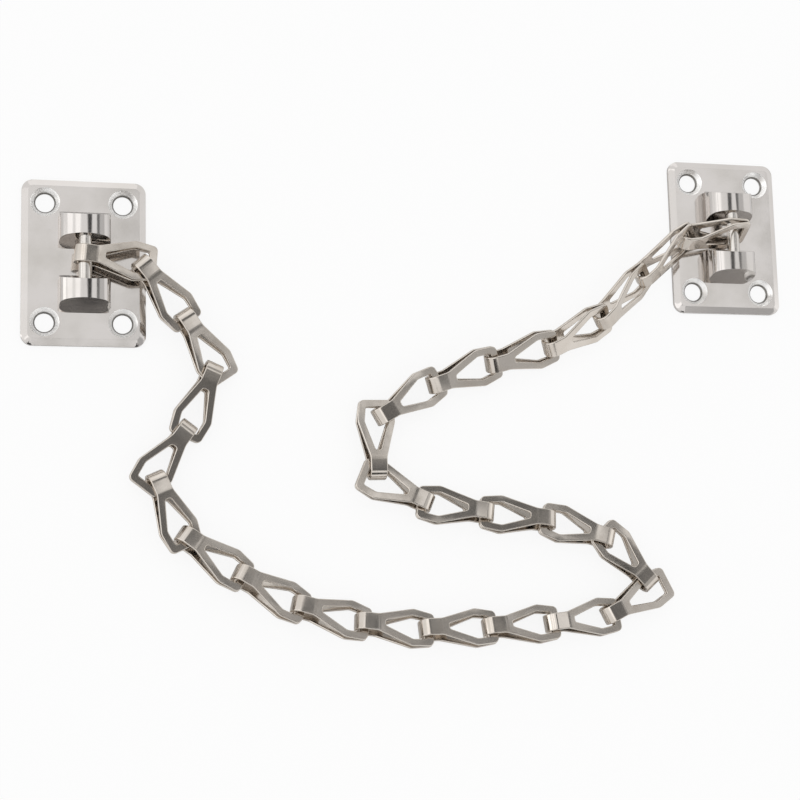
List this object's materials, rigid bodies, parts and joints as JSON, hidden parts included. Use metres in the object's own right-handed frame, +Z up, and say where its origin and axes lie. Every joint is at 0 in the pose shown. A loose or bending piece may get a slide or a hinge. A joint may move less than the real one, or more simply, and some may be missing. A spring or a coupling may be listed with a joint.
{
  "type": "transom chain",
  "caption": "Plated transom chain: screw-on plates with half-round lugs hold pins that are joined by a loose chain of folded flat links, to limit how far a window opens.",
  "frame": {"origin": "under the middle of the whole piece as it lies, on the table", "axes": "+X from the left plate to the right plate, +Y towards the top of the picture, +Z up out of the table"},
  "size_m": [0.2, 0.1286, 0.0125],
  "materials": {
    "plate_metal": "bright nickel plate",
    "pin_metal": "bright nickel plate",
    "link_metal": "bright nickel plate"
  },
  "bodies": {
    "left": {"left_plate": "plate_metal", "left_pin": "pin_metal"},
    "link_01": {"link_01": "link_metal"},
    "link_02": {"link_02": "link_metal"},
    "link_03": {"link_03": "link_metal"},
    "link_04": {"link_04": "link_metal"},
    "link_05": {"link_05": "link_metal"},
    "link_06": {"link_06": "link_metal"},
    "link_07": {"link_07": "link_metal"},
    "link_08": {"link_08": "link_metal"},
    "link_09": {"link_09": "link_metal"},
    "link_10": {"link_10": "link_metal"},
    "link_11": {"link_11": "link_metal"},
    "link_12": {"link_12": "link_metal"},
    "link_13": {"link_13": "link_metal"},
    "link_14": {"link_14": "link_metal"},
    "link_15": {"link_15": "link_metal"},
    "link_16": {"link_16": "link_metal"},
    "link_17": {"link_17": "link_metal"},
    "link_18": {"link_18": "link_metal"},
    "link_19": {"link_19": "link_metal"},
    "link_20": {"link_20": "link_metal"},
    "link_21": {"link_21": "link_metal"},
    "link_22": {"link_22": "link_metal"},
    "link_23": {"link_23": "link_metal"},
    "link_24": {"link_24": "link_metal"},
    "link_25": {"link_25": "link_metal"},
    "link_26": {"link_26": "link_metal"},
    "link_27": {"link_27": "link_metal"},
    "right": {"right_plate": "plate_metal", "right_pin": "pin_metal"}
  },
  "joints": [
    {"name": "link_01_swing", "type": "hinge", "parent": "left", "child": "link_01", "pos_m": [-0.0849, 0.03131, 0.0068], "axis": [0, -1, 0], "range_deg": [0, 110]},
    {"name": "link_02_swing", "type": "hinge", "parent": "link_01", "child": "link_02", "pos_m": [-0.07053, 0.02944, 0.00574], "axis": [0.7597, 0.6466, -0.0694], "range_deg": [-12, 12]},
    {"name": "link_03_swing", "type": "hinge", "parent": "link_02", "child": "link_03", "pos_m": [-0.06016, 0.01688, 0.00411], "axis": [-0.8194, -0.5637, 0.1041], "range_deg": [-90, 90]},
    {"name": "link_04_swing", "type": "hinge", "parent": "link_03", "child": "link_04", "pos_m": [-0.05412, 0.00408, 0.00311], "axis": [0.9158, -0.3879, -0.1045], "range_deg": [-12, 12]},
    {"name": "link_05_swing", "type": "hinge", "parent": "link_04", "child": "link_05", "pos_m": [-0.06081, -0.0105, 0.00304], "axis": [-0.7958, 0.6015, 0.0697], "range_deg": [-35, 35]},
    {"name": "link_06_swing", "type": "hinge", "parent": "link_05", "child": "link_06", "pos_m": [-0.06724, -0.02301, 0.00317], "axis": [0.9058, 0.4003, -0.1391], "range_deg": [-12, 12]},
    {"name": "link_07_swing", "type": "hinge", "parent": "link_06", "child": "link_07", "pos_m": [-0.06014, -0.03656, 0.00334], "axis": [-0.558, -0.7938, 0.2419], "range_deg": [-15, 15]},
    {"name": "link_08_swing", "type": "hinge", "parent": "link_07", "child": "link_08", "pos_m": [-0.04665, -0.04586, 0.00343], "axis": [0.4632, 0.8307, -0.309], "range_deg": [-90, 90]},
    {"name": "link_09_swing", "type": "hinge", "parent": "link_08", "child": "link_09", "pos_m": [-0.03238, -0.05333, 0.00343], "axis": [-0.2635, -0.9138, 0.309], "range_deg": [-90, 90]},
    {"name": "link_10_swing", "type": "hinge", "parent": "link_09", "child": "link_10", "pos_m": [-0.01667, -0.0576, 0.00343], "axis": [0.1171, 0.9438, -0.309], "range_deg": [-90, 90]},
    {"name": "link_11_swing", "type": "hinge", "parent": "link_10", "child": "link_11", "pos_m": [-0.00046, -0.05939, 0.00343], "axis": [0.0178, -0.9509, 0.309], "range_deg": [-90, 90]},
    {"name": "link_12_swing", "type": "hinge", "parent": "link_11", "child": "link_12", "pos_m": [0.01593, -0.05909, 0.00336], "axis": [-0.0535, 0.9644, -0.2588], "range_deg": [-90, 90]},
    {"name": "link_13_swing", "type": "hinge", "parent": "link_12", "child": "link_13", "pos_m": [0.03231, -0.05822, 0.00317], "axis": [0.1047, -0.9847, 0.1392], "range_deg": [-90, 90]},
    {"name": "link_14_swing", "type": "hinge", "parent": "link_13", "child": "link_14", "pos_m": [0.04788, -0.05589, 0.00294], "axis": [-0.4538, 0.8909, 0.0175], "range_deg": [-12, 12]},
    {"name": "link_15_swing", "type": "hinge", "parent": "link_14", "child": "link_15", "pos_m": [0.05718, -0.04747, 0.0029], "axis": [0.7431, 0.6691, 0], "range_deg": [-3, 3]},
    {"name": "link_16_swing", "type": "hinge", "parent": "link_15", "child": "link_16", "pos_m": [0.04623, -0.03679, 0.00317], "axis": [-0.2885, -0.9473, 0.1392], "range_deg": [-12, 12]},
    {"name": "link_17_swing", "type": "hinge", "parent": "link_16", "child": "link_17", "pos_m": [0.03064, -0.03233, 0.00334], "axis": [0.1198, 0.9629, -0.2419], "range_deg": [-90, 90]},
    {"name": "link_18_swing", "type": "hinge", "parent": "link_17", "child": "link_18", "pos_m": [0.01436, -0.03033, 0.00323], "axis": [-0.1552, -0.9725, 0.1736], "range_deg": [-90, 90]},
    {"name": "link_19_swing", "type": "hinge", "parent": "link_18", "child": "link_19", "pos_m": [-0.00138, -0.02735, 0.00304], "axis": [0.4052, 0.9116, -0.0698], "range_deg": [-25, 25]},
    {"name": "link_20_swing", "type": "hinge", "parent": "link_19", "child": "link_20", "pos_m": [-0.0128, -0.01936, 0.00297], "axis": [-0.9992, -0.018, 0.0349], "range_deg": [-15, 15]},
    {"name": "link_21_swing", "type": "hinge", "parent": "link_20", "child": "link_21", "pos_m": [-0.0107, -0.00543, 0.00311], "axis": [0.5139, -0.8514, -0.1045], "range_deg": [-12, 12]},
    {"name": "link_22_swing", "type": "hinge", "parent": "link_21", "child": "link_22", "pos_m": [0.00333, 0.00261, 0.00338], "axis": [-0.3338, 0.9015, 0.2756], "range_deg": [-35, 35]},
    {"name": "link_23_swing", "type": "hinge", "parent": "link_22", "child": "link_23", "pos_m": [0.01875, 0.00819, 0.0037], "axis": [0.2581, -0.861, -0.4382], "range_deg": [-90, 90]},
    {"name": "link_24_swing", "type": "hinge", "parent": "link_23", "child": "link_24", "pos_m": [0.03426, 0.01291, 0.00422], "axis": [-0.3808, 0.7253, 0.5735], "range_deg": [-90, 90]},
    {"name": "link_25_swing", "type": "hinge", "parent": "link_24", "child": "link_25", "pos_m": [0.04828, 0.02054, 0.0048], "axis": [0.5406, -0.4937, -0.6812], "range_deg": [-25, 25]},
    {"name": "link_26_swing", "type": "hinge", "parent": "link_25", "child": "link_26", "pos_m": [0.05986, 0.03213, 0.00561], "axis": [-0.4924, 0.3284, 0.806], "range_deg": [-60, 60]},
    {"name": "link_27_swing", "type": "hinge", "parent": "link_26", "child": "link_27", "pos_m": [0.07153, 0.0419, 0.00758], "axis": [0.0276, -0.4388, -0.8982], "range_deg": [-8, 8]},
    {"name": "right_plate_swing", "type": "hinge", "parent": "link_27", "child": "right", "pos_m": [0.0849, 0.04365, 0.0068], "axis": [0, -1, 0], "range_deg": [0, 90]}
  ]
}
